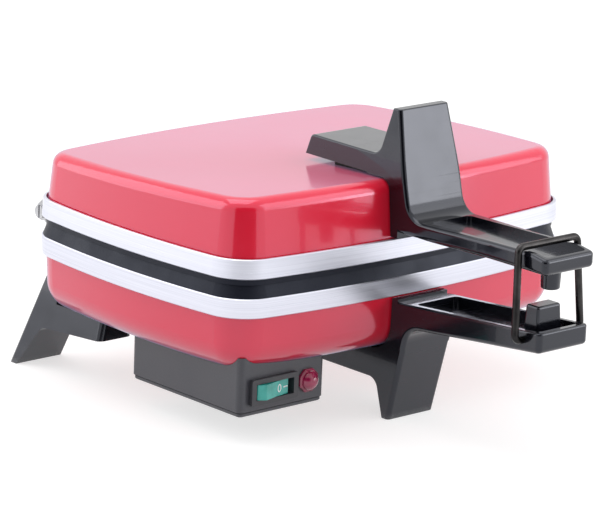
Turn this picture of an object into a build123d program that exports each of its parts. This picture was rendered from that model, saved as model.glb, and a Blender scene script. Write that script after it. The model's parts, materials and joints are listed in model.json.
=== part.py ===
from build123d import *
import os
from math import atan2, cos, degrees, hypot, radians, sin, tan

# Sandwich maker: two enamelled shells with cast plates, hinged at the back and latched by a wire bail.
# Millimetres. While a piece is modelled, x runs to the right, y to the back and z up, and z is 0
# halfway between the two bands. Saving moves every piece so that the feet stand on z = 0.

# Body plan
BODY_WIDTH = 260.0
BODY_DEPTH = 197.5
SIDE_BOW = 7.25
FRONT_BOW = 10.0
CORNER_RADIUS = 25.0

# Heights of the body, from the middle of the dark gap between the bands
BAND_GAP = 10.5
BAND_HEIGHT = 11.0
SHELL_HEIGHT = 48.0
TABLE_DROP = 87.5
PARTING_RISE = 1.75
PARTING_GAP = 0.2

# Bands and shells
BAND_WALL = 2.2
BAND_FLARE = 3.0
BAND_EDGE = 0.5
BAND_TO_SHELL = 0.1
SHELL_WALL = 1.5
LID_DRAFT = 6.0
LID_EDGE_RADIUS = 7.0
LID_FALL = 2.2
BASE_DRAFT = 3.0
BASE_EDGE_RADIUS = 16.0

# Cast plates
LOWER_RIM_INSET = 0.8
LOWER_RIM_SLOPE = 20.0
UPPER_RIM_INSET = 2.4
PLATE_TO_SHELL = 1.4
PLATE_THICKNESS = 12.5
POCKET_END_MARGIN = 34.75
POCKET_DIVIDE = 8.0
POCKET_DEPTH = 8.0
POCKET_DRAFT = 20.0
POCKET_CORNER = 7.0
RIDGE_WIDTH = 5.0
RIDGE_DROP = 1.0

# Heating elements, their trays and the clips that hold the plates
ELEMENT_DIAMETER = 6.5
ELEMENT_SIDE_MARGIN = 30.0
ELEMENT_END_MARGIN = 28.75
ELEMENT_BEND = 22.0
ELEMENT_END_GAP = 36.0
PIN_DIAMETER = 3.0
PIN_LENGTH = 10.0
TRAY_SHEET = 0.8
TRAY_SIDE_MARGIN = 18.0
TRAY_END_MARGIN = 22.75
TRAY_CORNER = 30.0
TRAY_SKIRT = 5.0
TRAY_NOTCH_WIDTH = 50.0
TRAY_NOTCH_DEPTH = 12.0
BOSS_DIAMETER = 12.0
BOSS_SIDE_MARGIN = 55.0
BOSS_END_MARGIN = 52.75
CLIP_WIDTH = 18.0
CLIP_REACH = 4.5
CLIP_DROP = 12.0
CLIP_SHEET = 2.0
CLIP_SCREW_EDGE = 9.0

# Screws
SMALL_SHANK = 4.0
SMALL_HEAD = 8.0
SMALL_HEAD_HEIGHT = 2.4
LARGE_SHANK = 5.0
LARGE_HEAD = 9.5
LARGE_HEAD_HEIGHT = 3.2
SCREW_CLEARANCE = 0.1
SCREW_TIP_GAP = 0.5
SCREW_SLOT_WIDTH = 1.2
SCREW_SLOT_DEPTH = 1.0
TRAY_SCREW_BITE = 9.0
HANDLE_SCREW_BITE = 9.0
FOOT_SCREW_BITE = 7.0
BOX_SCREW_BITE = 7.0

# Handles: arm on the shell, post or front leg, and heel
HANDLE_WIDTH = 37.0
ROOT_WIDTH = 42.6
ARM_REAR_WIDTH = 39.4
HANDLE_TO_SHELL = 1.0
HANDLE_TO_BAND = 1.05
ARM_THICKNESS = 12.5
LOWER_ARM_THICKNESS = 18.0
ARM_LENGTH = 75.75
ARM_REAR_SLOPE = 20.0
ARM_CORNER = 3.0
POST_TOP_DEPTH = 5.7
POST_SIDE_SLOPE = 5.4016
POST_SETBACK = 3.0
POST_FRONT_SLOPE = 13.5
POST_REAR_SLOPE = 15.0
POST_WAIST = 52.0
POST_REAR_CORNER = 1.0
POST_INNER_RADIUS = 7.0
POST_EDGE = 0.8
LEG_SIDE_SLOPE = 1.1
HANDLE_ROOT = 24.0
HEEL_DEPTH = 4.6
LID_REST_CLEARANCE = 0.6
HANDLE_SCREW_INSET = 28.0
HANDLE_SCREW_PITCH = 21.0
GASKET_MARGIN = 3.0
GASKET_REAR = 20.0
GASKET_LENGTH = 36.0

# Upper grip
GRIP_REACH = 111.4
GRIP_UNDERSIDE = 20.3
GRIP_RIM_BACK = 28.8
GRIP_RIM_FRONT = 30.7
GRIP_NOSE_TOP = 28.9
GRIP_NOSE_RADIUS = 20.0
GRIP_ROOT_RADIUS = 12.0
GRIP_ROOT_TOP = 45.0
GRIP_TAPER_START = 27.0
GRIP_TAPER_END = 66.0
GRIP_TAPER_RADIUS = 150.0
GRIP_END_CORNER = 3.0
GRIP_EDGE = 2.2
GRIP_WALL = 3.5
GRIP_NOSE_WALL = 3.0
GRIP_FLOOR = 5.4
GRIP_RECESS_START = 20.0
GRIP_RECESS_CORNER = 3.0
PEG_DIAMETER = 11.2
PEG_TAPER = 2.5
PEG_LENGTH = 11.7
PEG_EDGE = 1.0

# Lower grip
LOWER_GRIP_REACH = 109.8
LOWER_RIM_END = 10.8
LOWER_RIM_TILT = 4.3
LOWER_GRIP_THICKNESS = 11.2
LOWER_ROOT_THICKNESS = 14.2
LOWER_FLOOR = 6.0
LOWER_ROOT_RADIUS = 12.0
LOWER_RECESS_START = 13.0
LOWER_RIM_EDGE = 1.2
UNDERSIDE_EDGE = 2.5
BLOCK_WIDTH = 19.0
BLOCK_LENGTH = 11.5
BLOCK_TOP = 0.5
BLOCK_SETBACK = 10.5
BLOCK_DRAFT = 3.0
BLOCK_EDGE = 1.5

# Wire bail
WIRE_DIAMETER = 4.0
BAIL_PIVOT_SETBACK = 12.0
BAIL_PIVOT_BELOW_RIM = 4.8
BAIL_LEAN = 3.8
BAIL_TOP_SPAN = 43.5
BAIL_FOOT_SPAN = 48.8
BAIL_TOP_BEND = 3.4
BAIL_FOOT_BEND = 3.4
BAIL_END_DEPTH = 5.0
BAIL_FIT = 0.05
BAIL_GAP = 0.35

# Rear feet
FOOT_TIP_DROP = 31.5
FOOT_TIP_INSET = 4.75
FOOT_TIP_SIDE = 38.5
FOOT_TIP_WIDTH = 15.0
FOOT_SOLE_SIDE = 43.0
FOOT_SOLE_WIDTH = 32.0
FOOT_SOLE_DEPTH = 6.5
FOOT_SOLE_BEHIND = 12.75
FOOT_ARM_THICKNESS = 11.5
FOOT_ARM_TILT = 4.0
FOOT_ARM_FRONT = 61.0
FOOT_KNEE_SETBACK = 9.5
FOOT_KNEE_RADIUS = 6.0
FOOT_ARM_CORNER = 4.0
FOOT_BACK_CORNER = 2.5
FOOT_GAP = 1.5
FOOT_SCREW_SIDE = 30.0
FOOT_SCREW_INSET = 10.0
FOOT_SCREW_PITCH = 17.0

# Hinges
PIVOT_BEHIND = 5.0
HINGE_SIDE = 29.0
EAR_RADIUS = 5.2
EAR_REACH = 12.0
EAR_ROOT = 2.0
EAR_SHEET = 2.5
EAR_GAP = 0.3
FLANGE_WIDTH = 18.0
FLANGE_SHEET = 2.0
FLANGE_MARGIN = 0.7
HINGE_PIN_DIAMETER = 4.0
HINGE_FIT = 0.05
HINGE_HEAD_DIAMETER = 7.6
HINGE_HEAD_HEIGHT = 1.8
HINGE_WASHER_DIAMETER = 8.0
HINGE_WASHER_HEIGHT = 1.0
RIVET_DIAMETER = 3.2
RIVET_HEAD_DIAMETER = 5.6
RIVET_HEAD_HEIGHT = 1.4
RIVET_PITCH = 8.5

# Switch box
BOX_WIDTH = 60.5
BOX_DEPTH = 91.2
BOX_HEIGHT = 21.4
BOX_SIDE = 45.55
BOX_SETBACK = 15.0
BOX_WALL = 2.2
BOX_CORNER = 3.5
BOX_SKIRT = 9.0
BOX_GAP = 0.3
COVER_THICKNESS = 2.6
COVER_INSET = 0.8
COVER_GROOVE = 0.7
COVER_GROOVE_INSET = 2.0
COVER_EDGE = 0.6
COLUMN_DIAMETER = 7.0
COLUMN_SPACING = 38.5
COLUMN_FRONT_SETBACK = 24.0
COLUMN_REAR_SETBACK = 7.0
COVER_SCREW_SHANK = 3.0
COVER_SCREW_HEAD = 6.0
COVER_SCREW_LENGTH = 10.0
GROMMET_DIAMETER = 16.0
GROMMET_GROOVE = 1.5
GROMMET_BORE = 10.0
GROMMET_LIP = 1.5
GROMMET_BEHIND_TERMINAL = 9.0

# Rocker switch
BEZEL_WIDTH = 32.8
BEZEL_HEIGHT = 14.4
BEZEL_DEPTH = 2.7
BEZEL_CORNER = 1.2
SWITCH_OFFSET = 7.45
SWITCH_DROP = 10.7
SWITCH_WIDTH = 28.8
SWITCH_HEIGHT = 11.6
SWITCH_LENGTH = 17.0
SWITCH_CLEARANCE = 0.1
ROCKER_RADIUS = 12.9
ROCKER_HEIGHT = 8.4
ROCKER_GAP = 0.3
ROCKER_THROW = 12.0
ROCKER_RISE = 0.6
ROCKER_VALLEY = 0.5
ROCKER_BEVEL = 3.6
ROCKER_PIVOT_DEPTH = 4.0
ROCKER_BACK = 3.0
TRUNNION_DIAMETER = 2.6
TRUNNION_LENGTH = 0.9
TRUNNION_FIT = 0.05
TAB_WIDTH = 4.8
TAB_SHEET = 0.8
TAB_LENGTH = 8.0
TAB_PITCH = 7.0

# Indicator lamp
LAMP_OFFSET = 17.65
LAMP_DROP = 10.4
LAMP_BEZEL = 12.8
LAMP_BEZEL_SIDES = 8
LAMP_BEZEL_HEIGHT = 2.2
LAMP_BEZEL_EDGE = 0.8
LAMP_DOME_DIAMETER = 10.4
LAMP_DOME_SPHERE = 6.0
LAMP_DOME_BASE = 0.8
LAMP_BARREL = 9.8
LAMP_LENGTH = 11.0
LAMP_NUT = 12.0
LAMP_NUT_HEIGHT = 2.5

# Cord gland, terminal block, thermostat and inner leads
GLAND_OFFSET = 5.45
GLAND_DROP = 10.5
GLAND_BORE = 7.2
GLAND_BARREL = 12.0
GLAND_FLANGE = 16.0
GLAND_FLANGE_HEIGHT = 3.0
GLAND_NUT = 15.0
GLAND_NUT_HEIGHT = 3.5
GLAND_LENGTH = 8.0
TERMINAL_WIDTH = 30.0
TERMINAL_DEPTH = 14.0
TERMINAL_HEIGHT = 11.0
TERMINAL_CORNER = 1.5
TERMINAL_REAR_GAP = 33.2
TERMINAL_HOLE = 4.0
TERMINAL_POLES = 3
TERMINAL_PITCH = 6.4
THERMOSTAT_DIAMETER = 16.0
THERMOSTAT_HEIGHT = 8.0
THERMOSTAT_FLANGE = 22.0
THERMOSTAT_FLANGE_SHEET = 0.8
THERMOSTAT_HOLE_GAP = 1.0
THERMOSTAT_Y = -25.0
LEAD_DIAMETER = 2.4
LEAD_BEND = 7.0
LEAD_LEVEL = 34.0
LEAD_PIN_X = 12.0
LEAD_BITE = 3.0
SHORT_LEAD_BEND = 4.0
SHORT_LEAD_STRAIGHT = 6.0

# Sizes worked out from the ones above
SIDE_RADIUS = (BODY_DEPTH / 2 - FRONT_BOW) ** 2 / (2 * SIDE_BOW) + SIDE_BOW / 2
FRONT_RADIUS = (BODY_WIDTH / 2 - SIDE_BOW) ** 2 / (2 * FRONT_BOW) + FRONT_BOW / 2
FRONT_Y = -BODY_DEPTH / 2
ARM_REAR_Y = FRONT_Y + ARM_LENGTH
BACK_Y = BODY_DEPTH / 2
RIM_TOP = BAND_GAP / 2
BAND_TOP = RIM_TOP + BAND_HEIGHT
UPPER_FACE = PARTING_RISE + PARTING_GAP / 2
LOWER_FACE = PARTING_GAP / 2 - PARTING_RISE
SHELL_INSET = BAND_WALL + BAND_TO_SHELL
CAVITY_INSET = SHELL_INSET + SHELL_WALL
SHELL_FLOOR = SHELL_HEIGHT - SHELL_WALL
LID_FORM = (LID_DRAFT, LID_EDGE_RADIUS, LID_FALL)
BASE_FORM = (BASE_DRAFT, BASE_EDGE_RADIUS, 0)
POCKET_SPACING = BODY_WIDTH / 2 - 2 * POCKET_DIVIDE
POCKET_WIDTH = POCKET_SPACING - POCKET_DIVIDE
POCKET_LENGTH = BODY_DEPTH - 2 * POCKET_END_MARGIN
ELEMENT_WIDTH = BODY_WIDTH - 2 * ELEMENT_SIDE_MARGIN
ELEMENT_DEPTH = BODY_DEPTH - 2 * ELEMENT_END_MARGIN
TRAY_WIDTH = BODY_WIDTH - 2 * TRAY_SIDE_MARGIN
TRAY_DEPTH = BODY_DEPTH - 2 * TRAY_END_MARGIN
BOSS_SPACING_X = BODY_WIDTH - 2 * BOSS_SIDE_MARGIN
BOSS_SPACING_Y = BODY_DEPTH - 2 * BOSS_END_MARGIN
ARM_UNDERSIDE = SHELL_HEIGHT + HANDLE_TO_SHELL
ARM_TOP = SHELL_HEIGHT + ARM_THICKNESS
LOWER_ARM_TOP = SHELL_HEIGHT + LOWER_ARM_THICKNESS
POST_TOP = TABLE_DROP - LID_REST_CLEARANCE
POST_FRONT_Y = FRONT_Y + POST_SETBACK
HEEL_Y = FRONT_Y + SHELL_INSET - HEEL_DEPTH
HEEL_END = BAND_TOP + HANDLE_TO_BAND
HANDLE_ROOT_Y = FRONT_Y + HANDLE_ROOT
PIVOT_Y = BACK_Y + PIVOT_BEHIND
GRIP_END = FRONT_Y - GRIP_REACH
LOWER_GRIP_END = FRONT_Y - LOWER_GRIP_REACH
RIM_SLOPE = tan(radians(LOWER_RIM_TILT))
BAIL_Y = LOWER_GRIP_END + BAIL_PIVOT_SETBACK
BAIL_Z = -LOWER_RIM_END - BAIL_PIVOT_SETBACK * RIM_SLOPE - BAIL_PIVOT_BELOW_RIM
BAIL_REACH = (GRIP_RIM_FRONT + BAIL_GAP + WIRE_DIAMETER / 2 - BAIL_Z) / cos(radians(BAIL_LEAN))
BAR_Y = BAIL_Y + BAIL_REACH * sin(radians(BAIL_LEAN))
GRIP_NOSE_Y = 2 * BAIL_Y - BAR_Y
SOLE_BACK_Y = BACK_Y + FOOT_SOLE_BEHIND
FOOT_FRONT_Y = BACK_Y - FOOT_ARM_FRONT
FOOT_TIP_INNER_X = BODY_WIDTH / 2 - FOOT_TIP_SIDE
FOOT_SOLE_INNER_X = BODY_WIDTH / 2 - FOOT_SOLE_SIDE
FOOT_SCREW_X = BODY_WIDTH / 2 - FOOT_SCREW_SIDE
HINGE_X = BODY_WIDTH / 2 - HINGE_SIDE
BOX_CENTRE_X = BOX_SIDE - BODY_WIDTH / 2
SWITCH_X = BOX_CENTRE_X - SWITCH_OFFSET
LAMP_X = BOX_CENTRE_X + LAMP_OFFSET
GLAND_X = BOX_CENTRE_X + GLAND_OFFSET
BOX_FRONT_Y = FRONT_Y + BOX_SETBACK
BOX_CENTRE_Y = BOX_FRONT_Y + BOX_DEPTH / 2
BOX_BACK_Y = BOX_FRONT_Y + BOX_DEPTH
BOX_FLOOR = SHELL_HEIGHT + BOX_HEIGHT
SWITCH_Z = -SHELL_HEIGHT - SWITCH_DROP
BEZEL_Y = BOX_FRONT_Y - BEZEL_DEPTH
ROCKER_Y = BEZEL_Y + ROCKER_PIVOT_DEPTH
LAMP_Z = -SHELL_HEIGHT - LAMP_DROP
GLAND_Z = -SHELL_HEIGHT - GLAND_DROP
TERMINAL_Y = BOX_BACK_Y - TERMINAL_REAR_GAP
GROMMET_X = BOX_CENTRE_X - TERMINAL_PITCH / 2
GROMMET_Y = TERMINAL_Y + TERMINAL_DEPTH / 2 + GROMMET_BEHIND_TERMINAL
TERMINAL_Z = -SHELL_HEIGHT - BOX_WALL - TERMINAL_HEIGHT / 2
FAR = BODY_WIDTH + BODY_DEPTH
CENTRE_SHIFT = -(GRIP_END + SOLE_BACK_Y) / 2
PLACE = Pos(0, CENTRE_SHIFT, TABLE_DROP)
ON_TOP = (Align.CENTER, Align.CENTER, Align.MIN)
UNDER = (Align.CENTER, Align.CENTER, Align.MAX)


# Shapes that several pieces share
def plan(inset):
    """The bowed outline of the body, moved in by inset."""
    side_shift = SIDE_RADIUS - BODY_WIDTH / 2
    front_shift = FRONT_RADIUS - BODY_DEPTH / 2
    face = Pos(side_shift, 0) * Circle(SIDE_RADIUS - inset)
    face &= Pos(-side_shift, 0) * Circle(SIDE_RADIUS - inset)
    face &= Pos(0, front_shift) * Circle(FRONT_RADIUS - inset)
    face &= Pos(0, -front_shift) * Circle(FRONT_RADIUS - inset)
    return fillet(face.vertices(), CORNER_RADIUS - inset)


def slab(inset, bottom, top, taper=0):
    """A block of the body's plan between two heights."""
    return extrude(Pos(0, 0, bottom) * plan(inset), top - bottom, taper=taper)


def dome(form, inset, top, thinner=0):
    """The drafted, round-edged block of a shell, from the rim up, whose top may fall to the back."""
    draft, edge, fall = form
    block = slab(inset, RIM_TOP, top, draft)
    slope = Plane(origin=(0, FRONT_Y, top), x_dir=(1, 0, 0), z_dir=(0, tan(radians(fall)), 1))
    block -= slope * Box(2 * FAR, 2 * FAR, FAR, align=ON_TOP)
    return fillet(block.faces().sort_by(Axis.Z)[-1].edges(), edge - thinner)


def floor_height(form, y):
    """How high the inside of a shell's top is at y."""
    return SHELL_FLOOR - (y - FRONT_Y) * tan(radians(form[-1]))


def flip(shape):
    """The same shape on the lower half of the body."""
    return mirror(shape, about=Plane.XY)


def across(shape):
    """The same shape on the other side, left for right."""
    return mirror(shape, about=Plane.YZ)


def side_outline(points, radii):
    """A face in the Y-Z plane from (y, z) corners, each with its radius."""
    return Plane.YZ * make_face(FilletPolyline(*points, radius=radii, close=True))


def widen(face, width):
    """A side outline made into a solid, centred across the body."""
    return extrude(face, width / 2, both=True)


def rod(radius, start, end):
    """A round bar between two points."""
    axis = Vector(end) - Vector(start)
    return extrude(Plane(origin=start, z_dir=axis) * Circle(radius), axis.length)


def prism(across_flats, sides, start, end):
    """A bar of regular section between two points."""
    axis = Vector(end) - Vector(start)
    section = RegularPolygon(across_flats / 2, sides, major_radius=False, rotation=180 / sides)
    return extrude(Plane(origin=start, z_dir=axis) * section, axis.length)


def screw(tip, seat, shank, head, head_height):
    """A slotted pan-head screw from its tip to the seat under its head."""
    axis = (Vector(seat) - Vector(tip)).normalized()
    crown = Vector(seat) + axis * head_height
    slot = Plane(origin=crown, z_dir=axis) * Box(head, SCREW_SLOT_WIDTH, 2 * SCREW_SLOT_DEPTH)
    return rod(shank / 2, tip, seat) + rod(head / 2, seat, crown) - slot


def countersunk(tip, face, shank, head):
    """A slotted countersunk screw from its tip to its flush face."""
    axis = (Vector(face) - Vector(tip)).normalized()
    slot = Plane(origin=face, z_dir=axis) * Box(head, SCREW_SLOT_WIDTH, 2 * SCREW_SLOT_DEPTH)
    return rod(shank / 2, tip, face) + sink(face, axis, shank, head) - slot


def sink(face, axis, shank, head):
    """The cone under a countersunk head."""
    height = (head - shank) / 2
    base = Vector(face) - axis * height
    return Plane(origin=base, z_dir=axis) * Cone(shank / 2, head / 2, height, align=ON_TOP)


def corners(spacing_x, spacing_y):
    """The four corners of a centred rectangle."""
    return [(x, y) for x in (-spacing_x / 2, spacing_x / 2) for y in (-spacing_y / 2, spacing_y / 2)]


def edges_near(shape, points):
    """The edge of a shape that is nearest to each point."""
    return [shape.edges().sort_by_distance(point)[0] for point in points]


# Shells and bands, modelled as the upper ones
def shell(form, holes):
    """The pressed, enamelled cover, open towards its plate, with round holes (x, y, diameter)."""
    cover = dome(form, SHELL_INSET, SHELL_HEIGHT)
    cover -= dome(form, CAVITY_INSET, SHELL_FLOOR, SHELL_WALL)
    for x, y, diameter in holes:
        cover -= rod(diameter / 2, (x, y, BAND_TOP), (x, y, ARM_TOP))
    return cover


def band(rivet_places):
    """The brushed trim band, which flares towards the plates."""
    outer = slab(0, RIM_TOP, BAND_TOP, BAND_FLARE)
    flats = outer.faces().sort_by(Axis.Z)
    outer = chamfer(flats[0].edges() + flats[-1].edges(), BAND_EDGE)
    ring = outer - slab(BAND_WALL, RIM_TOP, BAND_TOP)
    for x in rivet_places:
        ring -= rod(RIVET_DIAMETER / 2, (x, 0, rivet_height()), (x, PIVOT_Y, rivet_height()))
    return ring


# Cast plates, modelled as the upper one: the cooking face looks down at z = face
def clip_places():
    """Where the plate's four margin screws sit, each with the turn of its clip."""
    side = BODY_WIDTH / 2 - CAVITY_INSET - CLIP_SCREW_EDGE
    front = BODY_DEPTH / 2 - CAVITY_INSET - CLIP_SCREW_EDGE
    return [(side, 0, 0), (0, front, 90), (-side, 0, 180), (0, -front, 270)]


def pockets(face):
    """Two toast pockets side by side, each cut in two triangles by a diagonal ridge."""
    half_width = POCKET_WIDTH / 2
    half_length = POCKET_LENGTH / 2
    right_angle = (-half_width, -half_length)
    outline = Polyline(right_angle, (half_width, -half_length), (-half_width, half_length), close=True)
    triangle = offset(make_face(outline), -RIDGE_WIDTH / 2, kind=Kind.INTERSECTION)
    triangle = fillet(triangle.vertices(), POCKET_CORNER)
    cut = extrude(Pos(0, 0, face) * triangle, POCKET_DEPTH, taper=POCKET_DRAFT)
    pair = Pos(POCKET_SPACING / 2, 0, 0) * (cut + Rot(0, 0, 180) * cut)
    return pair + across(pair)


def ridge_relief(face):
    """What is cut off the tops of the two diagonal ridges."""
    diagonal = hypot(POCKET_WIDTH, POCKET_LENGTH) - 4 * POCKET_CORNER
    turn = -degrees(atan2(POCKET_LENGTH, POCKET_WIDTH))
    bar = Pos(POCKET_SPACING / 2, 0, face) * Rot(0, 0, turn) * Box(diagonal, 3 * RIDGE_WIDTH, 2 * RIDGE_DROP)
    return bar + across(bar)


def plate(face, rim):
    """A cast plate with pockets, screw bosses on its back and countersunk margin holes."""
    back = face + PLATE_THICKNESS
    body = rim + slab(CAVITY_INSET + PLATE_TO_SHELL, RIM_TOP, back)
    for x, y in corners(BOSS_SPACING_X, BOSS_SPACING_Y):
        body += rod(BOSS_DIAMETER / 2, (x, y, back), (x, y, back + ELEMENT_DIAMETER))
        tip = back + ELEMENT_DIAMETER - TRAY_SCREW_BITE
        body -= rod(SMALL_SHANK / 2, (x, y, tip - SCREW_TIP_GAP), (x, y, back + ELEMENT_DIAMETER))
    body -= pockets(face) + ridge_relief(face)
    for x, y, _ in clip_places():
        hole = SMALL_SHANK + SCREW_CLEARANCE
        body -= rod(hole / 2, (x, y, face), (x, y, back))
        body -= sink((x, y, face), Vector(0, 0, -1), hole, SMALL_HEAD)
    return body


def upper_plate():
    return plate(UPPER_FACE, slab(UPPER_RIM_INSET, UPPER_FACE, RIM_TOP))


def lower_plate():
    """The lower plate's rim slopes in towards the parting line."""
    run = (RIM_TOP - LOWER_FACE) * tan(radians(LOWER_RIM_SLOPE))
    return plate(LOWER_FACE, slab(LOWER_RIM_INSET + run, LOWER_FACE, RIM_TOP, -LOWER_RIM_SLOPE))


def plate_clips(form, face):
    """Four angle clips, each spot-welded to the shell wall behind a margin screw."""
    back = face + PLATE_THICKNESS
    cavity = dome(form, CAVITY_INSET, SHELL_FLOOR, SHELL_WALL)
    clips = []
    for x, y, turn in clip_places():
        reach = CLIP_SCREW_EDGE + CLIP_REACH
        foot = Pos(CLIP_SCREW_EDGE - reach / 2, 0, CLIP_SHEET / 2) * Box(reach, CLIP_WIDTH, CLIP_SHEET)
        wall_x = CLIP_SCREW_EDGE - CLIP_SHEET / 2
        wall = Pos(wall_x, 0, CLIP_DROP / 2) * Box(2 * CLIP_SHEET, CLIP_WIDTH, CLIP_DROP)
        hole = Cylinder(SMALL_SHANK / 2 + SCREW_CLEARANCE / 2, 4 * CLIP_SHEET)
        clips.append((Pos(x, y, back) * Rot(0, 0, turn) * (foot + wall - hole)) & cavity)
    return clips


def plate_screws(face):
    """The four countersunk screws through the plate's margin into its clips."""
    tip = face + PLATE_THICKNESS + 2 * CLIP_SHEET
    return [countersunk((x, y, tip), (x, y, face), SMALL_SHANK, SMALL_HEAD) for x, y, _ in clip_places()]


# Heating elements and trays, modelled as the upper ones
def element(face):
    """A tubular heater bent round under the plate's back, with a cold pin at each end."""
    z = face + PLATE_THICKNESS + ELEMENT_DIAMETER / 2
    half_width = ELEMENT_WIDTH / 2
    half_depth = ELEMENT_DEPTH / 2
    route = FilletPolyline(
        (-ELEMENT_END_GAP / 2, half_depth, z),
        (-half_width, half_depth, z),
        (-half_width, -half_depth, z),
        (half_width, -half_depth, z),
        (half_width, half_depth, z),
        (ELEMENT_END_GAP / 2, half_depth, z),
        radius=ELEMENT_BEND,
    )
    heater = sweep(Plane(origin=route @ 0, z_dir=route % 0) * Circle(ELEMENT_DIAMETER / 2), path=route)
    end = ELEMENT_END_GAP / 2
    pin = rod(PIN_DIAMETER / 2, (end, half_depth, z), (end - PIN_LENGTH, half_depth, z))
    return heater + pin + across(pin)


def tray(face, holes):
    """The sheet tray that presses the element to the plate and throws its heat back."""
    z = face + PLATE_THICKNESS + ELEMENT_DIAMETER
    outline = RectangleRounded(TRAY_WIDTH, TRAY_DEPTH, TRAY_CORNER)
    inner = offset(outline, -TRAY_SHEET)
    sheet = extrude(Pos(0, 0, z - TRAY_SKIRT) * outline, TRAY_SKIRT + TRAY_SHEET)
    sheet -= extrude(Pos(0, 0, z - TRAY_SKIRT) * inner, TRAY_SKIRT)
    notch_y = TRAY_DEPTH / 2
    sheet -= Pos(0, notch_y, z) * Box(TRAY_NOTCH_WIDTH, 2 * TRAY_NOTCH_DEPTH, 4 * TRAY_SKIRT)
    for x, y in corners(BOSS_SPACING_X, BOSS_SPACING_Y):
        sheet -= Pos(x, y, z) * Cylinder(SMALL_SHANK / 2 + SCREW_CLEARANCE / 2, 4 * TRAY_SHEET)
    for x, y, diameter in holes:
        sheet -= Pos(x, y, z) * Cylinder(diameter / 2, 4 * TRAY_SHEET)
    return sheet


def tray_screws(face):
    """The four screws that hold the tray to the plate's bosses."""
    seat = face + PLATE_THICKNESS + ELEMENT_DIAMETER + TRAY_SHEET
    tip = seat - TRAY_SHEET - TRAY_SCREW_BITE
    return [
        screw((x, y, tip), (x, y, seat), SMALL_SHANK, SMALL_HEAD, SMALL_HEAD_HEIGHT)
        for x, y in corners(BOSS_SPACING_X, BOSS_SPACING_Y)
    ]


def thermostat():
    """The snap-disc thermostat on the lower plate's back."""
    back = LOWER_FACE + PLATE_THICKNESS
    flange_top = back + THERMOSTAT_FLANGE_SHEET
    flange = rod(THERMOSTAT_FLANGE / 2, (0, THERMOSTAT_Y, back), (0, THERMOSTAT_Y, flange_top))
    body = rod(THERMOSTAT_DIAMETER / 2, (0, THERMOSTAT_Y, back), (0, THERMOSTAT_Y, back + THERMOSTAT_HEIGHT))
    top = back + THERMOSTAT_HEIGHT
    for x in (-TAB_PITCH / 2, TAB_PITCH / 2):
        body += Pos(x, THERMOSTAT_Y, top) * Box(TAB_SHEET, TAB_WIDTH, TAB_LENGTH, align=ON_TOP)
    return flange + body


# Handles, modelled as the upper one
def front_line(z):
    """Where the post's sloping front face is at a height."""
    return POST_FRONT_Y - (POST_TOP - z) * tan(radians(POST_FRONT_SLOPE))


def rear_line(z):
    """Where the post's sloping rear face is at a height."""
    return POST_FRONT_Y + POST_TOP_DEPTH + (POST_TOP - z) * tan(radians(POST_REAR_SLOPE))


def handle_screw_places():
    """The two screws along the arm, from the back."""
    first = ARM_REAR_Y - HANDLE_SCREW_INSET
    return [first, first - HANDLE_SCREW_PITCH]


def arm_corners(arm_top):
    """The arm's rear end and the foot of the post behind it, as (y, z) corners."""
    rear_slant = (arm_top - SHELL_HEIGHT) * tan(radians(ARM_REAR_SLOPE))
    return [(ARM_REAR_Y, ARM_UNDERSIDE), (ARM_REAR_Y - rear_slant, arm_top), (rear_line(arm_top), arm_top)]


def heel_corners(foot):
    """The heel that reaches down beside the band, as (y, z) corners from the front."""
    inside = [(HANDLE_ROOT_Y, HEEL_END), (HANDLE_ROOT_Y, ARM_UNDERSIDE)]
    return [(HEEL_Y, foot), (HEEL_Y, HEEL_END)] + inside


def leg_and_arm():
    """The lower handle's arm and front leg, modelled upside down."""
    foot = GRIP_RIM_BACK
    top = TABLE_DROP
    leg = [(rear_line(top), top), (front_line(top), top), (front_line(foot), foot)]
    points = arm_corners(LOWER_ARM_TOP) + leg + heel_corners(foot)
    body = widen(side_outline(points, [0, ARM_CORNER, POST_INNER_RADIUS, 0, 0, 0, 0, 0, 0, 0]), HANDLE_WIDTH)
    lean = (top - HEEL_END) * tan(radians(LEG_SIDE_SLOPE))
    low = HANDLE_WIDTH / 2
    high = low - lean
    front_view = Polyline((-low, HEEL_END), (low, HEEL_END), (high, top), (-high, top), close=True)
    body &= extrude(Plane.XZ * make_face(front_view), FAR, both=True)
    middle = (top + LOWER_ARM_TOP) / 2
    half = low - (middle - HEEL_END) * tan(radians(LEG_SIDE_SLOPE))
    fronts = edges_near(body, [(side * half, front_line(middle), middle) for side in (-1, 1)])
    body = fillet(fronts, UNDERSIDE_EDGE)
    rears = edges_near(body, [(side * half, rear_line(middle), middle) for side in (-1, 1)])
    body = fillet(rears, POST_REAR_CORNER)
    return fillet(body.faces().sort_by(Axis.Z)[-1].edges(), POST_EDGE)


def handle_clearance(form):
    """The shell's outside, grown so that the handle stands clear of it."""
    return dome(form, SHELL_INSET - HANDLE_TO_SHELL, ARM_UNDERSIDE)


def handle_screw_holes():
    """The blind holes that take the arm's two screws."""
    deep = SHELL_HEIGHT + HANDLE_SCREW_BITE + SCREW_TIP_GAP
    first, second = [rod(LARGE_SHANK / 2, (0, y, SHELL_HEIGHT), (0, y, deep)) for y in handle_screw_places()]
    return first + second


def handle_screws(form):
    """The two screws that hold a handle from inside its shell."""
    tip = SHELL_HEIGHT + HANDLE_SCREW_BITE
    screws = []
    for y in handle_screw_places():
        seat = (0, y, floor_height(form, y + LARGE_HEAD / 2))
        screws.append(screw((0, y, tip), seat, LARGE_SHANK, LARGE_HEAD, LARGE_HEAD_HEIGHT))
    return screws


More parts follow.
